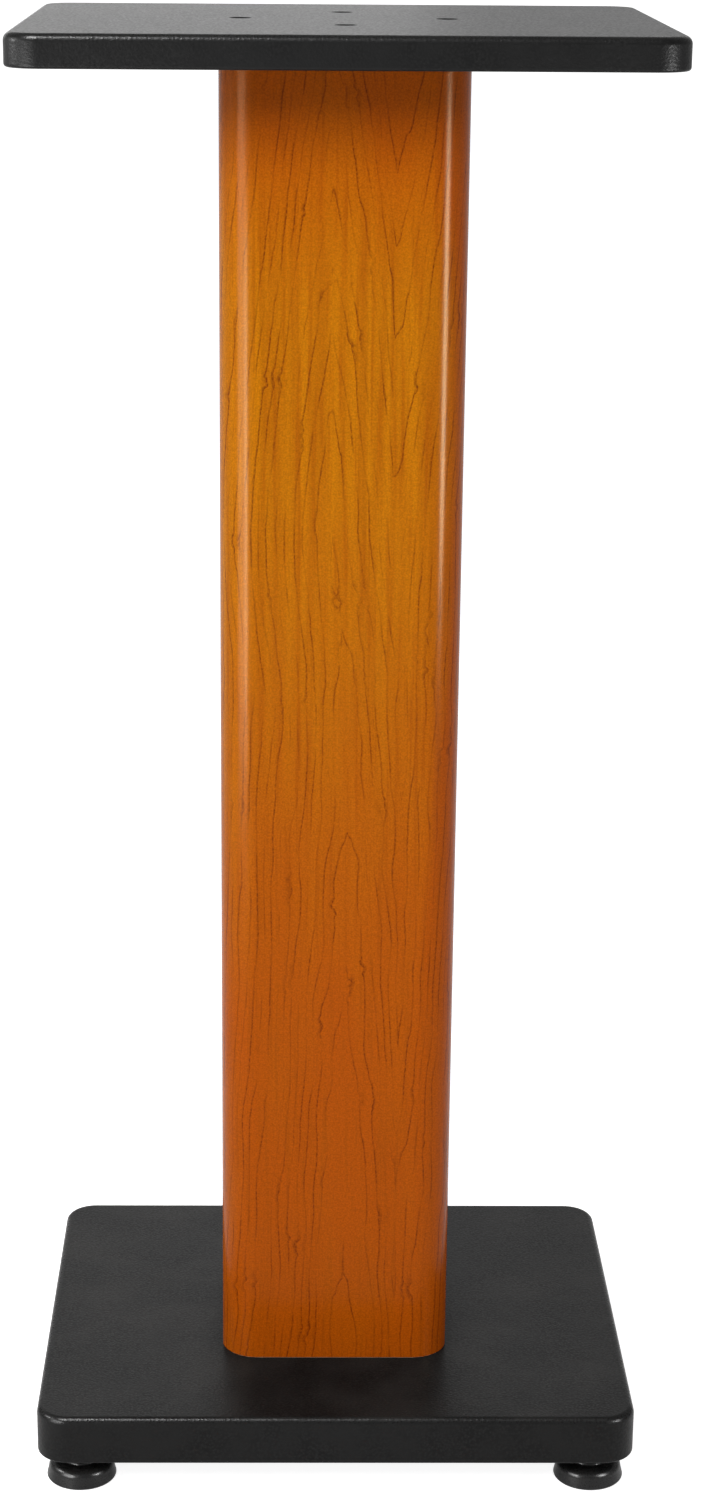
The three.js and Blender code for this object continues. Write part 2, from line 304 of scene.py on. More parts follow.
def make_ring_field():
    """The growth-ring field at a place in millimetres round the column and up the film."""
    group, given, result = new_group("growth ring field", {"Round": 0.0, "Up": 0.0}, ("Field", "Kinks"))
    round_column, up = given.outputs["Round"], given.outputs["Up"]
    flat = add_node(group, "ShaderNodeCombineXYZ", {0: round_column, 1: up}).outputs[0]

    def slope(distance, straight, bent, bend):
        """straight * distance, growing to (straight + bent) * distance past the bend."""
        long_side = calc(group, "SQRT", calc(group, "MULTIPLY_ADD", distance, distance, bend * bend))
        curved = times(group, calc(group, "SUBTRACT", long_side, bend), bent)
        return calc(group, "MULTIPLY_ADD", distance, straight, curved)

    folded = calc(group, "PINGPONG", calc(group, "ADD", round_column, print_width / 2), print_width)
    across = calc(group, "SUBTRACT", folded, print_width / 2)
    arch_middle = fade(group, up, 350.0, 440.0, arch_middle_low, arch_middle_high)
    from_middle = calc(group, "ABSOLUTE", calc(group, "SUBTRACT", across, arch_middle))
    past_ridge = calc(group, "MAXIMUM", calc(group, "SUBTRACT", across, ridge_middle), 0.0)
    before_ridge = calc(group, "MAXIMUM", calc(group, "SUBTRACT", ridge_middle, across), 0.0)
    arches = slope(from_middle, 2.5, 5.5, 10.0)
    ridge = calc(group, "SUBTRACT", ridge_height, slope(past_ridge, 1.0, 7.0, 8.0))
    ridge = calc(group, "MULTIPLY_ADD", before_ridge, 8.0, ridge)
    field = calc(group, "DIVIDE", calc(group, "MINIMUM", arches, ridge), ring_height_high)

    climb = calc(group, "SUBTRACT", up, rings_tighten_at)
    long_side = calc(group, "SQRT", calc(group, "MULTIPLY_ADD", climb, climb, rings_tighten_over ** 2))
    climb_above = times(group, calc(group, "ADD", climb, long_side), 0.5)
    field = calc(group, "MULTIPLY_ADD", up, 1 / ring_height_low, field)
    field = calc(group, "MULTIPLY_ADD", climb_above, 1 / ring_height_high - 1 / ring_height_low, field)

    slow = lumps_of(group, flat, 34, 240)
    sway = times(group, lumps_of(group, flat, 26, 62), fade(group, up, 470.0, 320.0))
    wander = lumps_of(group, flat, 8, 42, detail=2.0)
    kinks = calc(group, "SUBTRACT", lumps_of(group, flat, 13, 7), 0.5)
    kink_mask = fade(group, lumps_of(group, flat, 17, 26, detail=0.0), 0.62, 0.76)
    field = calc(group, "MULTIPLY_ADD", slow, 1.6, field)
    field = calc(group, "MULTIPLY_ADD", sway, 2.2, field)
    field = calc(group, "MULTIPLY_ADD", wander, 0.9, field)
    field = calc(group, "MULTIPLY_ADD", times(group, kinks, kink_mask), 1.6, field)
    group.links.new(field, result.inputs["Field"])
    group.links.new(kink_mask, result.inputs["Kinks"])
    return group


ring_field = make_ring_field()
print("growth ring field:", len(ring_field.nodes), "nodes, one print", print_width, "mm wide")

# %% [markdown]
# ## Cherry film: the print and its gloss
# A level line would be a wide blot where the field is nearly level, so the field is read three times, a
# hair apart, to find how steep it is: the step to the line divided by the steepness is a real distance in
# millimetres. Each line is crisp on one side and fades on the other, as late wood does, breaks up into
# dots here and there, and smudges where it kinks. Streaks, brown bands, flecks and the dots of the print
# join them, with red clouds at random. Painted shade turns the colour darker and redder low down, near the
# top where the top board shades the column, and on the right side, and painted light keeps the left side
# yellower. The film is a satin vinyl with a very fine embossing, which makes its highlights grainy. In the
# photograph the black boards show no orange beside the column, so a glossy ray meets the film as a dull grey.

# %% Cherry film
pale_cherry = (0.600, 0.196, 0.0022, 1)
deep_cherry = (0.490, 0.143, 0.0020, 1)
# The next colour is the print's own red clouds, and also the darker red of the painted shade.
red_cherry_and_painted_shade = (0.480, 0.087, 0.0018, 1)
brown_band = (0.375, 0.074, 0.0018, 1)
brown_fleck = (0.33, 0.072, 0.0025, 1)
faint_line = (0.27, 0.055, 0.0022, 1)
strong_line = (0.190, 0.031, 0.0020, 1)
dull_reflection = (0.045, 0.042, 0.040, 1)


def make_cherry_film(film_height):
    material, tree, shader = new_material("cherry film")
    film_uv = add_node(tree, "ShaderNodeUVMap", uv_map="film")
    at = add_node(tree, "ShaderNodeSeparateXYZ", {0: film_uv.outputs[0]})
    round_column = times(tree, at.outputs["X"], 1000.0)
    up = times(tree, at.outputs["Y"], 1000.0)
    flat = add_node(tree, "ShaderNodeCombineXYZ", {0: round_column, 1: up}).outputs[0]

    hair = 0.2

    def field_at(step_across, step_up):
        beside, above = calc(tree, "ADD", round_column, step_across), calc(tree, "ADD", up, step_up)
        return use_group(tree, ring_field, {"Round": beside, "Up": above})

    here = field_at(0.0, 0.0)
    field, kinks = here["Field"], here["Kinks"]
    steep_across = calc(tree, "DIVIDE", calc(tree, "SUBTRACT", field_at(hair, 0.0)["Field"], field), hair)
    steep_up = calc(tree, "DIVIDE", calc(tree, "SUBTRACT", field_at(0.0, hair)["Field"], field), hair)
    squares = calc(tree, "ADD", calc(tree, "POWER", steep_across, 2.0), calc(tree, "POWER", steep_up, 2.0))
    steepness = calc(tree, "MAXIMUM", calc(tree, "SQRT", squares), 0.02)

    def ring_lines(rings, crisp, fading):
        """Thin lines at the whole numbers of the field times rings: crisp and fading are in millimetres."""
        past = calc(tree, "FRACT", times(tree, field, rings))
        per_mm = times(tree, steepness, rings)
        after = calc(tree, "DIVIDE", past, per_mm)
        before = calc(tree, "DIVIDE", calc(tree, "SUBTRACT", 1.0, past), per_mm)
        crisp_side = fade(tree, before, 0.0, crisp, 1.0, 0.0)
        return calc(tree, "MAXIMUM", crisp_side, fade(tree, after, 0.0, fading, 1.0, 0.0))

    which_ring = calc(tree, "FLOOR", calc(tree, "ADD", field, 0.5))
    ring_noise = add_node(tree, "ShaderNodeTexWhiteNoise", {"W": which_ring}, noise_dimensions="1D")
    weight = calc(tree, "MULTIPLY_ADD", ring_noise.outputs[0], 0.26, lumps_of(tree, flat, 10, 38, detail=2.0))
    weight = fade(tree, weight, 0.50, 0.80, 0.04, 1.0)
    dots = fade(tree, lumps_of(tree, flat, 0.8, 1.6), 0.32, 0.62, 0.35, 1.0)
    fading = calc(tree, "MULTIPLY_ADD", kinks, 1.5, 0.9)
    strong_lines = times(tree, times(tree, ring_lines(1.0, 0.50, fading), weight), dots)
    faint_dots = fade(tree, lumps_of(tree, flat, 1.0, 5.0), 0.46, 0.70)
    faint_lines = times(tree, ring_lines(3.0, 0.35, 0.4), faint_dots)

    streaks = fade(tree, lumps_of(tree, flat, 4.5, 320, detail=3.0), 0.25, 0.75)
    bands = fade(tree, lumps_of(tree, flat, 2.4, 75, detail=2.0), 0.48, 0.74)
    clouds = lumps_of(tree, flat, 26, 110, detail=2.0)
    flecks = fade(tree, lumps_of(tree, flat, 0.5, 5.5), 0.66, 0.80)
    print_dots = noise(tree, flat, 1.15, detail=2.0)
    print_grain = noise(tree, stretched(tree, flat, (0.55, 0.45, 1)), 1.0, detail=3.0, roughness=0.7)

    # Painted shade: a darker, redder colour low down, near the top where the top board shades the column, and
    # on the right side. Painted light: a yellower left side. Only the clouds are the print's own red tone.
    painted_shade_low_down = fade(tree, up, 500.0, 150.0)
    painted_shadow_near_top = fade(tree, up, film_height - 130.0, film_height)
    near_front = fade(tree, calc(tree, "ABSOLUTE", round_column), 95.0, 170.0, 1.0, 0.0)
    painted_shade_right_side = times(tree, fade(tree, round_column, 38.0, 62.0), near_front)
    painted_light_left_side = times(tree, fade(tree, round_column, -42.0, -66.0), near_front)
    redder_and_painted_shade = calc(tree, "MULTIPLY_ADD", clouds, 0.5, -0.25)
    redder_and_painted_shade = calc(tree, "ADD", redder_and_painted_shade, calc(tree, "MAXIMUM", painted_shade_low_down, painted_shadow_near_top))
    redder_and_painted_shade = calc(tree, "MULTIPLY_ADD", painted_shade_right_side, 0.85, redder_and_painted_shade)
    redder_and_painted_shade = calc(tree, "MULTIPLY_ADD", painted_light_left_side, -0.20, redder_and_painted_shade)

    colour = pale_cherry
    layers = (
        (streaks, 1.0, deep_cherry),
        (redder_and_painted_shade, 1.0, red_cherry_and_painted_shade),
        (bands, 0.50, brown_band),
        (flecks, 0.30, brown_fleck),
        (faint_lines, 0.30, faint_line),
        (strong_lines, 0.95, strong_line),
    )
    for mask, strength, layer_colour in layers:
        colour = mix_colours(tree, times(tree, mask, strength), colour, layer_colour)
    tone = fade(tree, calc(tree, "MULTIPLY_ADD", print_grain, 0.6, print_dots), 0.5, 1.1, 0.82, 1.18)
    tone = add_node(tree, "ShaderNodeCombineColor", {0: tone, 1: tone, 2: tone}).outputs[0]
    colour = mix_colours(tree, 1.0, colour, tone, blend="MULTIPLY")
    reflected = tree.nodes.new("ShaderNodeLightPath").outputs["Is Glossy Ray"]
    colour = mix_colours(tree, times(tree, reflected, 0.8), colour, dull_reflection)

    emboss_place = stretched(tree, flat, (MM, 0.6 * MM, MM))
    emboss = use_group(tree, pebbled_skin, {"Place": emboss_place, "Pebble Size": 0.55 * MM})["Height"]
    roughness = fade(tree, emboss, 0.3, 0.8, 0.22, 0.16)
    shader.inputs["Specular Tint"].default_value = (1.0, 0.82, 0.50, 1)
    return finished(material, shader, colour, roughness, bump(tree, emboss, 0.012 * MM), 0.11)


column_low, column_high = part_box("column_film")
cherry_film = make_cherry_film((column_high.z - column_low.z) / MM)

# %% [markdown]
# ## Raw board
# Under the film the column is bare fibreboard: pressed brown fibres, a little darker in some patches and
# full of fine pale and dark hairs. It shows only as a hairline where the film stops short of the plates.

# %% Raw board
def make_raw_board():
    material, tree, shader = new_material("raw fibreboard")
    place = object_place(tree)
    skin = use_group(tree, pebbled_skin, {"Place": place, "Pebble Size": 0.7 * MM})
    hairs = noise(tree, stretched(tree, place, (1.0, 1.0, 0.35)), 1600.0, detail=3.0, distortion=1.2)
    dark_fibres, pale_fibres = (0.42, 0.300, 0.185, 1), (0.58, 0.430, 0.285, 1)
    colour = mix_colours(tree, fade(tree, hairs, 0.3, 0.7), dark_fibres, pale_fibres)
    colour = mix_colours(tree, fade(tree, skin["Patches"], 0.35, 0.7), colour, (0.48, 0.35, 0.22, 1))
    roughness = fade(tree, hairs, 0.2, 0.8, 0.95, 0.8)
    return finished(material, shader, colour, roughness, bump(tree, skin["Height"], 0.08 * MM), 0.25)


raw_board = make_raw_board()

# %% [markdown]
# ## Metals
# The screws in the top are blackened steel, and the other screws, the bolts and the insert nuts are
# bright zinc plate. Both are metals, so their colour is the colour of their reflection. Plating is never
# even: its roughness wanders in blotches, and the tool that turned the thread leaves faint rings.

# %% Metals
def make_steel(name, bright, dull, smoothest, roughest):
    material, tree, shader = new_material(name)
    place = object_place(tree)
    rings = use_group(tree, turning_rings, {"Place": place, "Ring Pitch": 0.22 * MM})
    dust = use_group(tree, settled_dust, {"Place": place, "Amount": 0.25})["Mask"]
    colour = mix_colours(tree, fade(tree, rings["Blotches"], 0.35, 0.68), bright, dull)
    colour = mix_colours(tree, dust, colour, (0.12, 0.11, 0.10, 1))
    roughness = fade(tree, rings["Blotches"], 0.3, 0.7, smoothest, roughest)
    roughness = calc(tree, "MULTIPLY_ADD", dust, 0.3, roughness)
    shader.inputs["Metallic"].default_value = 1.0
    return finished(material, shader, colour, roughness, bump(tree, rings["Height"], 0.008 * MM))


bright_black, dull_black = (0.045, 0.044, 0.043, 1), (0.028, 0.027, 0.026, 1)
bright_zinc, dull_zinc = (0.62, 0.63, 0.64, 1), (0.47, 0.48, 0.47, 1)
black_steel = make_steel("blackened steel", bright_black, dull_black, 0.34, 0.5)
zinc_steel = make_steel("zinc-plated steel", bright_zinc, dull_zinc, 0.22, 0.42)

# %% [markdown]
# ## Plastic and rubber
# The caps are moulded black plastic with a soft shine, smoother than the coating, so they catch the lights
# as small bright spots. The soles under them are matt rubber, greyed by handling.

# %% Plastic and rubber
def make_cap_plastic():
    material, tree, shader = new_material("moulded black plastic")
    place = object_place(tree)
    skin = use_group(tree, pebbled_skin, {"Place": place, "Pebble Size": 0.8 * MM})
    dust = use_group(tree, settled_dust, {"Place": place, "Amount": 0.3})["Mask"]
    flow = noise(tree, stretched(tree, place, (1.0, 1.0, 4.0)), 120.0, detail=3.0)
    deep_black, soft_black = (0.0085, 0.0085, 0.0088, 1), (0.0125, 0.0123, 0.0120, 1)
    colour = mix_colours(tree, fade(tree, flow, 0.3, 0.7), deep_black, soft_black)
    colour = mix_colours(tree, dust, colour, (0.09, 0.085, 0.08, 1))
    roughness = fade(tree, skin["Height"], 0.3, 0.8, 0.32, 0.25)
    return finished(material, shader, colour, roughness, bump(tree, skin["Height"], 0.012 * MM), 0.3)


def make_sole_rubber():
    material, tree, shader = new_material("black rubber")
    place = object_place(tree)
    skin = use_group(tree, pebbled_skin, {"Place": place, "Pebble Size": 0.6 * MM})
    scuffs = fade(tree, noise(tree, place, 160.0, detail=5.0, roughness=0.65), 0.45, 0.75)
    colour = mix_colours(tree, scuffs, (0.016, 0.016, 0.017, 1), (0.045, 0.043, 0.041, 1))
    roughness = fade(tree, skin["Height"], 0.3, 0.8, 0.85, 0.7)
    return finished(material, shader, colour, roughness, bump(tree, skin["Height"], 0.05 * MM), 0.3)


cap_plastic = make_cap_plastic()
sole_rubber = make_sole_rubber()

# %% [markdown]
# ## Turning a shape
# Screws, bolts, nuts, caps and soles are all turned shapes, so they share one tool: half of the outline
# is drawn in the XZ plane and spun once round the vertical axis. Points on the axis become poles, which
# merging closes. The last turn lands on the first, so spin is told to merge it. Spinning can leave the
# faces pointing inwards, so the normals are worked out again after the doubles are merged.

# %% Turned shapes
def arc(centre_radius, centre_height, radius, start, end, steps):
    """Points of a round stretch of a profile. The angles are in degrees, up from straight outwards."""
    angles = [math.radians(start + (end - start) * step / steps) for step in range(steps + 1)]
    return [(centre_radius + radius * math.cos(a), centre_height + radius * math.sin(a)) for a in angles]


def turned(profile, steps=64, hollow=False):
    """A closed solid spun from (radius, height) points in millimetres. A hollow one closes on itself."""
    shape = bmesh.new()
    points = [shape.verts.new((radius * MM, 0.0, height * MM)) for radius, height in profile]
    ends = points[1:] + points[:1] if hollow else points[1:]
    edges = [shape.edges.new(pair) for pair in zip(points, ends)]
    bmesh.ops.spin(
        shape, geom=points + edges, cent=(0, 0, 0), axis=(0, 0, 1),
        angle=math.tau, steps=steps, use_merge=True,
    )
    bmesh.ops.remove_doubles(shape, verts=shape.verts, dist=0.0005 * MM)
    bmesh.ops.recalc_face_normals(shape, faces=shape.faces)
    return shape


def moved(shape, place):
    bmesh.ops.translate(shape, vec=place, verts=shape.verts)
    return shape


# %% [markdown]
# ## Cutting and joining
# Sockets and screw holes are cut with Blender's exact Boolean. It is a modifier, so two short-lived
# objects carry the shapes, and the result is read back as a mesh. Nothing is left live on the piece.

# %% Boolean
def combined(shape, tool, how):
    """shape cut by tool (DIFFERENCE), joined to it (UNION) or kept inside it (INTERSECT)."""
    holders = []
    for part in (shape, tool):
        mesh = bpy.data.meshes.new("work")
        part.to_mesh(mesh)
        part.free()
        holder = bpy.data.objects.new("work", mesh)
        scene.collection.objects.link(holder)
        holders.append(holder)
    boolean = holders[0].modifiers.new("combine", "BOOLEAN")
    boolean.operation = how
    boolean.solver = "EXACT"
    boolean.object = holders[1]
    result = bmesh.new()
    result.from_object(holders[0], bpy.context.evaluated_depsgraph_get())
    for holder in holders:
        mesh = holder.data
        bpy.data.objects.remove(holder)
        bpy.data.meshes.remove(mesh)
    bmesh.ops.remove_doubles(result, verts=result.verts, dist=0.0005 * MM)
    return result


# %% [markdown]
# ## Finishing a piece
# A finished object sits at the origin with its place in its mesh, as the construction model's own pieces
# do. Faces are smooth, and an edge is marked sharp where its two faces turn by more than the crease angle.
# Weighted normals then keep the flat faces flat beside the rounds. Last, the piece rides on its body, and
# the construction nodes that it covers are hidden.

# %% Finish
crease_angle = math.radians(38)


def finish_piece(name, shape, finish, body, nodes):
    """Turns a bmesh into a piece of the stand, with its material and its body, and hides the nodes it covers.
    """
    mesh = bpy.data.meshes.new(name)
    shape.to_mesh(mesh)
    shape.free()
    mesh.materials.append(finish)
    mesh.shade_smooth()
    mesh.set_sharp_from_angle(angle=crease_angle)
    piece = bpy.data.objects.new(name, mesh)
    scene.collection.objects.link(piece)
    piece.modifiers.new("weighted normals", "WEIGHTED_NORMAL").keep_sharp = True
    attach(piece, body)
    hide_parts(*nodes)
    print(name + ":", len(mesh.polygons), "faces, rides on", body)


# %% [markdown]
# ## Furniture screws
# The screws are the blunt kind for board: a flat cylindrical head with a hexagon socket, a cone to a plain
# neck, then a coarse thread and a blunt tip. A thread is one tooth's outline spun round the axis and moved
# along it a little at each step. After a whole turn it has moved by one pitch, so each turn joins the
# last. The ends are cut off square, filled, and shaped by keeping what lies inside the screw's outline.

# %% Threaded rod
def threaded_rod(crest, root, pitch, low, high, crest_share, steps=24):
    """A solid rod with a right-hand thread, in millimetres. crest_share is the flat on the thread's crest."""
    rod = bmesh.new()
    crest_start = (1 - crest_share) / 2
    outline = [(root, 0.0), (root, 0.05), (crest, crest_start), (crest, crest_start + crest_share)]
    outline += [(root, 0.95), (root, 1.0)]
    start = low - 1.5 * pitch
    turns = math.ceil((high - low) / pitch) + 3
    points = [rod.verts.new((radius * MM, 0.0, (start + share * pitch) * MM)) for radius, share in outline]
    edges = [rod.edges.new(pair) for pair in zip(points, points[1:])]
    bmesh.ops.spin(
        rod, geom=points + edges, cent=(0, 0, 0), axis=(0, 0, 1), dvec=(0, 0, pitch * MM / steps),
        angle=turns * math.tau, steps=turns * steps, use_merge=False,
    )
    bmesh.ops.remove_doubles(rod, verts=rod.verts, dist=0.002 * MM)
    for height, outwards in ((low, -1), (high, 1)):
        everything = rod.verts[:] + rod.edges[:] + rod.faces[:]
        bmesh.ops.bisect_plane(
            rod, geom=everything, dist=1e-8,
            plane_co=(0, 0, height * MM), plane_no=(0, 0, outwards), clear_outer=True,
        )
    bmesh.ops.remove_doubles(rod, verts=rod.verts, dist=0.0005 * MM)
    bmesh.ops.holes_fill(rod, edges=[edge for edge in rod.edges if edge.is_boundary], sides=0)
    bmesh.ops.recalc_face_normals(rod, faces=rod.faces)
    return rod


# %% Screw sizes
screw_radius = 3.5
screw_head_radius = 4.75
screw_head_rim = 1.5
screw_tip_radius = 1.75
screw_tip_length = 3.0
screw_socket_across = 4.0
screw_socket_depth = 2.6
screw_core_radius = 2.5
screw_pitch = 3.0
screw_neck = 9.0
hole_clearance = 0.3


def hexagon(across, low, high):
    """A hexagonal prism in millimetres: across is the distance between its flats."""
    corner_radius = across / math.sqrt(3)
    return turned([(0, low), (corner_radius, low), (corner_radius, high), (0, high)], steps=6)


def furniture_screw(length):
    """A screw that points down from z = 0, where its head's face is."""
    cone_foot = -screw_head_rim - (screw_head_radius - screw_radius)
    tip = -length
    outline = [(0, 0), (screw_head_radius - 0.25, 0), (screw_head_radius, -0.25)]
    outline += [(screw_head_radius, -screw_head_rim), (screw_radius, cone_foot)]
    envelope = outline + [(screw_radius, tip + screw_tip_length), (screw_tip_radius, tip), (0, tip)]
    neck = outline + [(screw_radius - 0.15, cone_foot - 0.15), (screw_radius - 0.15, -screw_neck)]
    neck += [(screw_core_radius - 0.2, -screw_neck - 1.2), (0, -screw_neck - 1.2)]
    thread_top = -screw_neck + 0.5
    thread = threaded_rod(screw_radius, screw_core_radius, screw_pitch, tip, thread_top, crest_share=0.1)
    screw = combined(combined(thread, turned(envelope), "INTERSECT"), turned(neck), "UNION")
    screw = combined(screw, hexagon(screw_socket_across, -screw_socket_depth, 1.0), "DIFFERENCE")
    floor = -screw_socket_depth + 0.1
    drill_point = [(0, floor - 0.8), (1.7, floor), (0, floor)]
    mouth = [(0, -0.35), (2.05, -0.35), (2.75, 0.35), (0, 0.35)]
    screw = combined(screw, turned(drill_point, steps=24), "DIFFERENCE")
    return combined(screw, turned(mouth, steps=48), "DIFFERENCE")


# %% Fit the screws
sides = ("front", "back", "left", "right")
upside_down = Matrix.Rotation(math.pi, 4, "X")


def face_middle(node, lower):
    """The middle of the lower or the upper face of a node of the construction model."""
    low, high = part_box(node)
    return Vector(((low.x + high.x) / 2, (low.y + high.y) / 2, low.z if lower else high.z))


def fit_screws(level, finish, points_up):
    """One screw on each side, made once and copied to where the construction model has it."""
    low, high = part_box(f"{level}_screw_front")
    pattern = furniture_screw((high.z - low.z) / MM)
    if points_up:
        bmesh.ops.transform(pattern, matrix=upside_down, verts=pattern.verts)
    for side in sides:
        node = f"{level}_screw_{side}"
        head = face_middle(node, lower=points_up)
        screw = moved(pattern.copy(), head)
        finish_piece(f"furniture_screw_{level}_{side}", screw, finish, "root", [node])
    pattern.free()


fit_screws("top", black_steel, points_up=False)
fit_screws("base", zinc_steel, points_up=True)

# %% [markdown]
# ## The two boards
# Each board is a slab whose four upright edges are rounded first and whose rims are rounded after, so the
# rounds run on round the corners. The upper rim is routed with a larger round than the lower one. Holes
# are cut last. The edge mask is worked out from each point's height on the upper round: none where the
# round starts and ends, and full in its middle.

# %% Boards
board_corner = 16.0
board_top_round = 3.5
board_bottom_round = 1.5


def round_off(shape, edges, rounding, segments):
    """Rounds edges of a shape. The rounding is in millimetres."""
    bmesh.ops.bevel(
        shape, geom=edges, offset=rounding * MM, segments=segments, profile=0.5, affect="EDGES", material=-1
    )


def rounded_block(low, high, corner, segments):
    """A block between two corner points, whose four upright edges are rounded."""
    block = bmesh.new()
    bmesh.ops.create_cube(block, size=1.0)
    bmesh.ops.scale(block, vec=high - low, verts=block.verts)
    moved(block, (high + low) / 2)
    upright = (high.z - low.z) / 2
    uprights = [e for e in block.edges if abs(e.verts[0].co.z - e.verts[1].co.z) > upright]
    round_off(block, uprights, corner, segments)
    return block


def rounded_slab(low, high):
    """A block whose rims are rounded too."""
    slab = rounded_block(low, high, board_corner, 14)
    for height, rounding in ((high.z, board_top_round), (low.z, board_bottom_round)):
        rim = [e for e in slab.edges if all(abs(vert.co.z - height) < 0.01 * MM for vert in e.verts)]
        round_off(slab, rim, rounding, 6)
    return slab


def screw_hole(face, points_up, through):
    """A cutter for one screw hole, in millimetres from the screw's head face. face is the board's face."""
    radius = screw_head_radius + hole_clearance
    shank = screw_radius + hole_clearance
    profile = [(0, face + 1), (radius + 1.3, face + 1), (radius, face - 0.3)]
    profile += [(radius, -screw_head_rim), (shank, -screw_head_rim - (radius - shank))]
    profile += [(shank, through), (0, through)]
    cutter = turned(profile, steps=48)
    if points_up:
        bmesh.ops.transform(cutter, matrix=upside_down, verts=cutter.verts)
    return cutter


def mark_edge(board, top, rounding):
    """A mask on the points: 1 in the middle of the upper round and 0 where it ends."""
    mask = board.verts.layers.float.new("edge")
    for vert in board.verts:
        rise = min(max((vert.co.z - (top - rounding * MM)) / (rounding * MM), 0.0), 1.0)
        vert[mask] = 2 * rise * math.sqrt(1 - rise * rise)


def make_board(name, node, level, points_up, foot_holes=()):
    low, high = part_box(node)
    thickness = (high.z - low.z) / MM
    board = rounded_slab(low, high)
    for side in sides:
        head = face_middle(f"{level}_screw_{side}", lower=points_up)
        sink = (head.z - low.z if points_up else high.z - head.z) / MM
        cutter = screw_hole(sink, points_up, through=sink - thickness - 2)
        board = combined(board, moved(cutter, head), "DIFFERENCE")
    for cutter in foot_holes:
        board = combined(board, cutter, "DIFFERENCE")
    mark_edge(board, high.z, board_top_round)
    finish_piece(name, board, board_coating, "root", [node])


# %% Foot sizes
nut_radius = 5.0
nut_flange_radius = 7.0
nut_flange_thickness = 1.5
nut_bore = 3.3
insert_hole_depth = 20.0
corners = ("front_left", "front_right", "back_left", "back_right")


def insert_hole(corner):
    """A cutter for the stepped blind hole that an insert nut sits in."""
    wide = nut_flange_radius + hole_clearance
    narrow = nut_radius + hole_clearance
    step = nut_flange_thickness + hole_clearance
    profile = [(0, -1), (wide + 1.3, -1), (wide, 0.3), (wide, step), (narrow, step)]
    profile += [(narrow, insert_hole_depth), (0, insert_hole_depth)]
    return moved(turned(profile, steps=48), face_middle(f"foot_{corner}_nut", lower=True))


foot_holes = [insert_hole(corner) for corner in corners]
make_board("coated_board_top", "top_plate", "top", points_up=False)
make_board("coated_board_base", "base_plate", "base", points_up=True, foot_holes=foot_holes)

# %% [markdown]
# ## The film round the column
# The film is one sheet, wrapped once round the column and butted at the middle of the back. It is made
# from a block whose uprights are rounded and whose two ends are deleted. Two cuts beside the middle of
# the back open the seam, and then the sheet gets its thickness inwards. Its UV map is written one by one,
# because the grain must run on round the corners without stretching: one coordinate is the distance round
# the column from the middle of the front, and the other is the height, both in metres.

# %% Film
film_corner = 18.0
film_thickness = 0.4
film_seam = 0.3


def distance_round(point):
    """Metres along the film from the middle of the front, positive to the right, at a point on it."""
    corner = film_corner * MM
    flat_x, flat_y = column_high.x - corner, column_high.y - corner
    quarter = corner * math.pi / 2
    x, y = abs(point.x), point.y
    if y < -flat_y:
        along = x if x <= flat_x else flat_x + corner * math.atan2(x - flat_x, -y - flat_y)
    elif y <= flat_y:
        along = flat_x + quarter + y + flat_y
    elif x > flat_x:
        along = flat_x + quarter + 2 * flat_y + corner * math.atan2(y - flat_y, x - flat_x)
    else:
        along = 2 * (flat_x + quarter + flat_y) - x
    return math.copysign(along, point.x)


def make_film():
    film = rounded_block(column_low, column_high, film_corner, 18)
    ends = [face for face in film.faces if abs(face.normal.z) > 0.5]
    bmesh.ops.delete(film, geom=ends, context="FACES")
    for side in (-1, 1):
        back = [face for face in film.faces if face.normal.y > 0.99]
        geometry = dict.fromkeys(part for face in back for part in (face, *face.edges, *face.verts))
        cut_place = (side * film_seam / 2 * MM, 0, 0)
        bmesh.ops.bisect_plane(film, geom=list(geometry), dist=1e-8, plane_co=cut_place, plane_no=(1, 0, 0))
    seam = [face for face in film.faces if face.normal.y > 0.99 and face.calc_area() < film_seam * MM * 0.7]
    bmesh.ops.delete(film, geom=seam, context="FACES")
    bmesh.ops.solidify(film, geom=film.faces[:], thickness=film_thickness * MM)
    grain = film.loops.layers.uv.new("film")
    for face in film.faces:
        for loop in face.loops:
            loop[grain].uv = (distance_round(loop.vert.co), loop.vert.co.z - column_low.z)
    finish_piece("wood_grain_film", film, cherry_film, "root", ["column_film"])


make_film()

# %% [markdown]
# ## The column's panels
# The four panels inside the film keep their construction meshes, which are right as they are. They only
# get the fibreboard finish, assigned to the slots of the objects that are already there.

# %% Panels
for side in sides:
    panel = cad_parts[f"column_{side}_panel"]
    if not panel.material_slots:
        panel.data.materials.append(raw_board)
    for material_slot in panel.material_slots:
        material_slot.material = raw_board
print("panels finished:", len(sides))

# %% [markdown]
# ## The feet
# Each foot is a moulded cap on the head of a bolt, with a rubber sole let into its underside. The bolt
# runs up into a threaded insert in the base board, and turning the foot lowers it. The caps show in the
# photograph as a broad rounded shoulder under a narrower hub. The nut stays in the board and rides on the
# root body, the sole rides on the body that slides, and the cap and bolt on the one that also turns.

# %% Foot shapes, in millimetres above the floor
sole_radius = 15.0
sole_thickness = 2.0
sole_gap = 0.3
cap_low = 0.3
cap_radius = 17.5
cap_rim_round = 1.3
shoulder_radius = 16.5
shoulder_top = 9.6
shoulder_round = 4.0
hub_radius = 9.0
hub_top = 17.7
hub_fillet = 1.5
hub_round = 0.5
bolt_head_low = 2.6
bolt_head_high = 6.6
bolt_head_across = 10.0


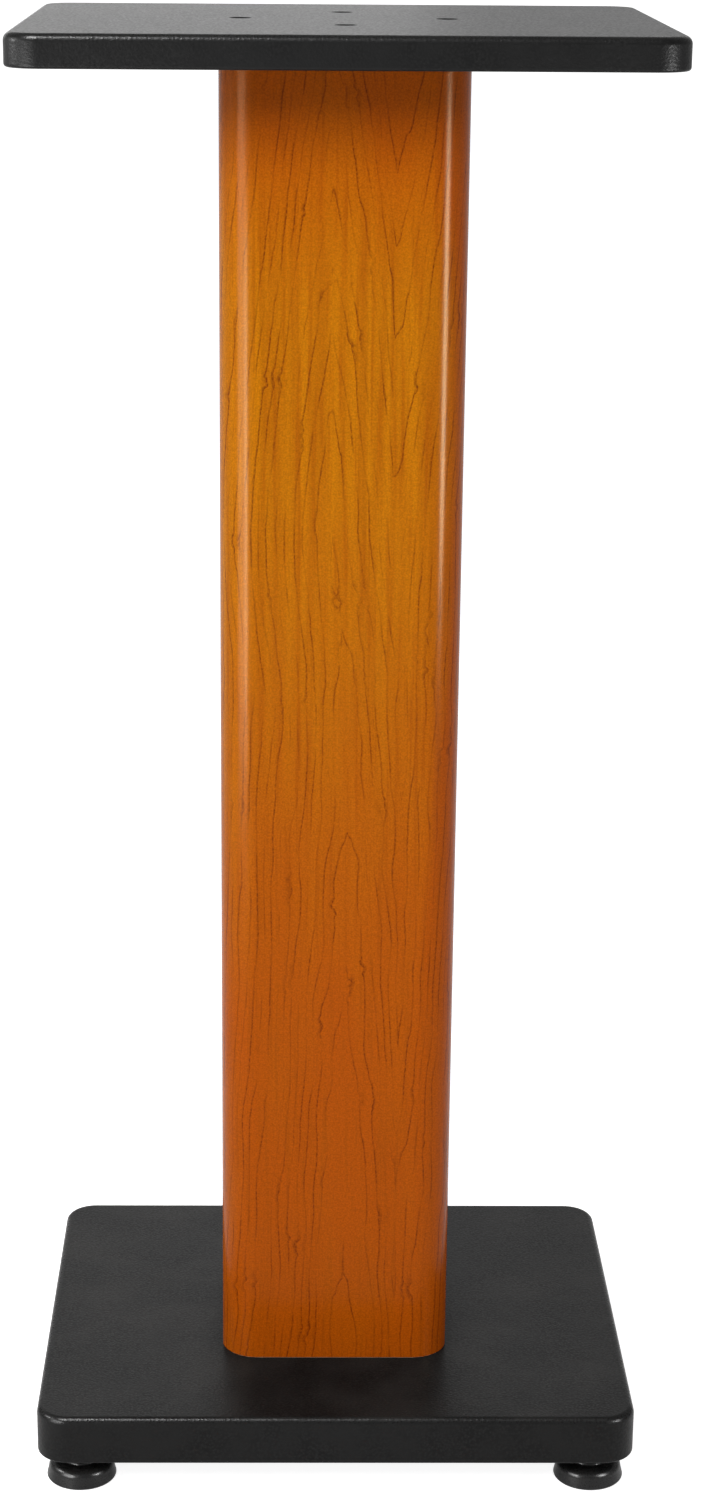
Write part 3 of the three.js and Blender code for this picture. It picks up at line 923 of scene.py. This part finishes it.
def make_cap():
    """The cap: sole seat, rim, tapering side, rounded shoulder and hub, with a pocket for the bolt's head."""
    seat_radius, seat_height = sole_radius + sole_gap, sole_thickness + sole_gap
    profile = [(nut_bore, seat_height), (seat_radius, seat_height), (seat_radius, cap_low)]
    profile += arc(cap_radius - cap_rim_round, cap_low + cap_rim_round, cap_rim_round, -90, 0, 6)
    profile += arc(shoulder_radius - shoulder_round, shoulder_top - shoulder_round, shoulder_round, 0, 90, 12)
    profile += arc(hub_radius + hub_fillet, shoulder_top + hub_fillet, hub_fillet, 270, 180, 6)
    profile += arc(hub_radius - hub_round, hub_top - hub_round, hub_round, 0, 90, 4)
    profile += [(nut_bore + 0.4, hub_top), (nut_bore, hub_top - 0.4)]
    cap = turned(profile, steps=96, hollow=True)
    pocket = hexagon(bolt_head_across + 2 * sole_gap, 1.5, bolt_head_high + sole_gap)
    return combined(cap, pocket, "DIFFERENCE")


def make_sole():
    """The sole: a disc with a softened lower edge and three rings cut into its underside."""
    profile = [(0, 0.0)]
    for groove in (4.5, 8.0, 11.5):
        profile += [(groove, 0.0), (groove + 0.2, 0.45), (groove + 0.9, 0.45), (groove + 1.1, 0.0)]
    profile += [(sole_radius - 0.5, 0.0), (sole_radius, 0.5), (sole_radius, sole_thickness - 0.2)]
    profile += [(sole_radius - 0.2, sole_thickness), (0, sole_thickness)]
    return turned(profile, steps=72)


def make_bolt(top):
    """The foot's bolt: a hexagon head with its corners turned off, and an M6 thread up to a chamfered end."""
    low, high = bolt_head_low, bolt_head_high
    thread = threaded_rod(3.0, 2.45, 1.0, high - 0.3, top, crest_share=0.12)
    end_shape = turned([(0, 4), (3.2, 4), (3.2, top - 1.0), (2.2, top), (0, top)], steps=48)
    head = hexagon(bolt_head_across, low, high)
    corners_off = [(0, low), (4.9, low), (5.9, low + 0.6), (5.9, high), (0, high)]
    head = combined(head, turned(corners_off), "INTERSECT")
    return combined(head, combined(thread, end_shape, "INTERSECT"), "UNION")


def make_nut(low, high):
    """The insert nut: a flange, a coarse wood thread outside and a chamfered bore."""
    thread = threaded_rod(nut_radius, 4.3, 2.6, low + 1.0, high, crest_share=0.08)
    flange_top = low + nut_flange_thickness
    flange = [(0, low), (nut_flange_radius - 0.3, low), (nut_flange_radius, low + 0.3)]
    flange += [(nut_flange_radius, flange_top), (0, flange_top)]
    bore = [(0, low - 1), (nut_bore + 1.6, low - 1), (nut_bore, low + 0.6), (nut_bore, high - 0.4)]
    bore += [(nut_bore + 0.9, high + 0.5), (0, high + 0.5)]
    return combined(combined(turned(flange), thread, "UNION"), turned(bore, steps=48), "DIFFERENCE")


# %% Fit the feet
bolt_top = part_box("foot_front_left_stud")[1].z / MM
nut_low, nut_high = (corner_point.z / MM for corner_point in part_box("foot_front_left_nut"))
foot_parts = (
    ("cap", "foot_cap", make_cap(), cap_plastic, "black_plastic", "foot"),
    ("sole", "foot_sole", make_sole(), sole_rubber, "black_rubber", "pad"),
    ("stud", "foot_bolt", make_bolt(bolt_top), zinc_steel, "zinc_steel", "foot"),
    ("nut", "insert_nut", make_nut(nut_low, nut_high), zinc_steel, "zinc_steel", None),
)
for corner in corners:
    for part, name, pattern, finish, slot, moves_with in foot_parts:
        node = f"foot_{corner}_{part}"
        middle = face_middle(node, lower=True)
        shape = moved(pattern.copy(), (middle.x, middle.y, 0))
        body = f"{corner}_{moves_with}" if moves_with else "root"
        finish_piece(f"{name}_{corner}", shape, finish, body, [node])
for foot_part in foot_parts:
    foot_part[2].free()

# %% [markdown]
# ## Floor and world
# The stand is shown on a plain pale floor against white. Camera and transmission rays see the world as
# white, and so do glossy rays that go straight back, as to a screen behind the stand. All others see it as
# dim as a studio's walls, which keeps the black boards black. The floor is pale paint that adds a little
# light of its own for those same rays, so it is white around the stand and still takes a faint shadow.

# %% Floor and world
def seen_as_white(tree, glossy_share):
    """1 for a camera ray or a transmission ray, glossy_share for a glossy ray and 0 for any other."""
    path = tree.nodes.new("ShaderNodeLightPath").outputs
    straight = calc(tree, "MAXIMUM", path["Is Camera Ray"], path["Is Transmission Ray"])
    glossy = times(tree, path["Is Glossy Ray"], glossy_share)
    return calc(tree, "MAXIMUM", straight, glossy)


wall_light = 0.36
dark_room = 0.09
world = bpy.data.worlds.new("studio")
world.use_nodes = True
scene.world = world
world_tree = world.node_tree
world_tree.nodes.clear()
direction = world_tree.nodes.new("ShaderNodeTexCoord").outputs["Generated"]
towards = add_node(world_tree, "ShaderNodeSeparateXYZ", {0: direction})
screen_behind = fade(world_tree, towards.outputs["Y"], 0.76, 0.99, dark_room, 1.0)
strength = calc(world_tree, "MAXIMUM", seen_as_white(world_tree, screen_behind), wall_light)
background = add_node(world_tree, "ShaderNodeBackground", {"Color": (1, 1, 1, 1), "Strength": strength})
world_output = world_tree.nodes.new("ShaderNodeOutputWorld")
world_tree.links.new(background.outputs[0], world_output.inputs[0])
print("studio walls:", wall_light, "of white")


def make_floor():
    material = bpy.data.materials.new("pale floor")
    material.use_nodes = True
    tree = material.node_tree
    tree.nodes.clear()
    own_light = times(tree, seen_as_white(tree, 0.45), 0.90)
    paint = add_node(tree, "ShaderNodeBsdfDiffuse", {"Color": (0.84, 0.84, 0.84, 1)})
    light = add_node(tree, "ShaderNodeEmission", {"Strength": own_light})
    both = tree.nodes.new("ShaderNodeAddShader")
    output = tree.nodes.new("ShaderNodeOutputMaterial")
    tree.links.new(paint.outputs[0], both.inputs[0])
    tree.links.new(light.outputs[0], both.inputs[1])
    tree.links.new(both.outputs[0], output.inputs[0])
    sheet = bmesh.new()
    bmesh.ops.create_grid(sheet, x_segments=1, y_segments=1, size=20.0)
    mesh = bpy.data.meshes.new("floor")
    sheet.to_mesh(mesh)
    sheet.free()
    mesh.materials.append(material)
    floor = bpy.data.objects.new("floor", mesh)
    scene.collection.objects.link(floor)


make_floor()

# %% [markdown]
# ## Lamps
# The column's front and left are evenly lit and its right side is darker, so the main light is large,
# high and to the front left. It and the weak back light make no highlight: six lights that only reflect
# do that. Upright boxes at the left and right draw the bright lines down the column's front corners, the
# left one as a wide dim box beside a narrow bright one, because its line has a soft side. A high light
# draws the boards' front rims, a side one the feet's caps, and a wide dim one the sheen on the top board.

# %% Lamps
def soft_light(name, place, aim, width, height, brightness, gives):
    """
    A rectangular light in metres. brightness is about how many times brighter than white paper it is.
    It gives "light" but no highlight, "gloss" but no light, or "both".
    """
    data = bpy.data.lights.new(name, "AREA")
    data.shape = "RECTANGLE"
    data.size = width
    data.size_y = height
    data.energy = math.pi * brightness * width * height
    light = bpy.data.objects.new(name, data)
    light.location = place
    light.rotation_euler = (Vector(aim) - Vector(place)).to_track_quat("-Z", "Y").to_euler()
    light.visible_camera = False
    light.visible_diffuse = gives != "gloss"
    light.visible_glossy = gives != "light"
    scene.collection.objects.link(light)
    print(name + ":", gives)


soft_light("main light", (-0.50, -1.45, 1.42), (0, 0, 0.4), 0.65, 0.65, 13.4, "light")
soft_light("side light", (-1.25, -0.35, 1.00), (0, 0, 0.55), 1.2, 0.8, 1.35, "both")
soft_light("back light", (0.75, 0.50, 0.95), (0, 0, 0.4), 0.4, 0.4, 2.5, "light")
soft_light("rim light", (-0.48, -0.72, 1.70), (-0.05, -0.12, 0.4), 0.42, 0.50, 62.0, "gloss")
soft_light("foot light", (-1.15, -0.12, 0.85), (-0.13, -0.10, 0.0), 0.30, 0.30, 30.0, "gloss")
soft_light("glow behind", (-0.45, 1.00, 0.84), (0, 0, 0.6), 1.2, 0.36, 0.85, "gloss")
soft_light("left box", (-0.72, -0.64, 0.36), (-0.05, -0.05, 0.36), 0.36, 0.54, 12.0, "gloss")
soft_light("left box edge", (-0.56, -0.79, 0.31), (-0.05, -0.05, 0.31), 0.12, 0.38, 36.0, "gloss")
soft_light("right box", (0.68, -0.58, 0.43), (0.05, -0.05, 0.43), 0.17, 0.34, 48.0, "gloss")

# %% View
scene.view_settings.view_transform = "Standard"
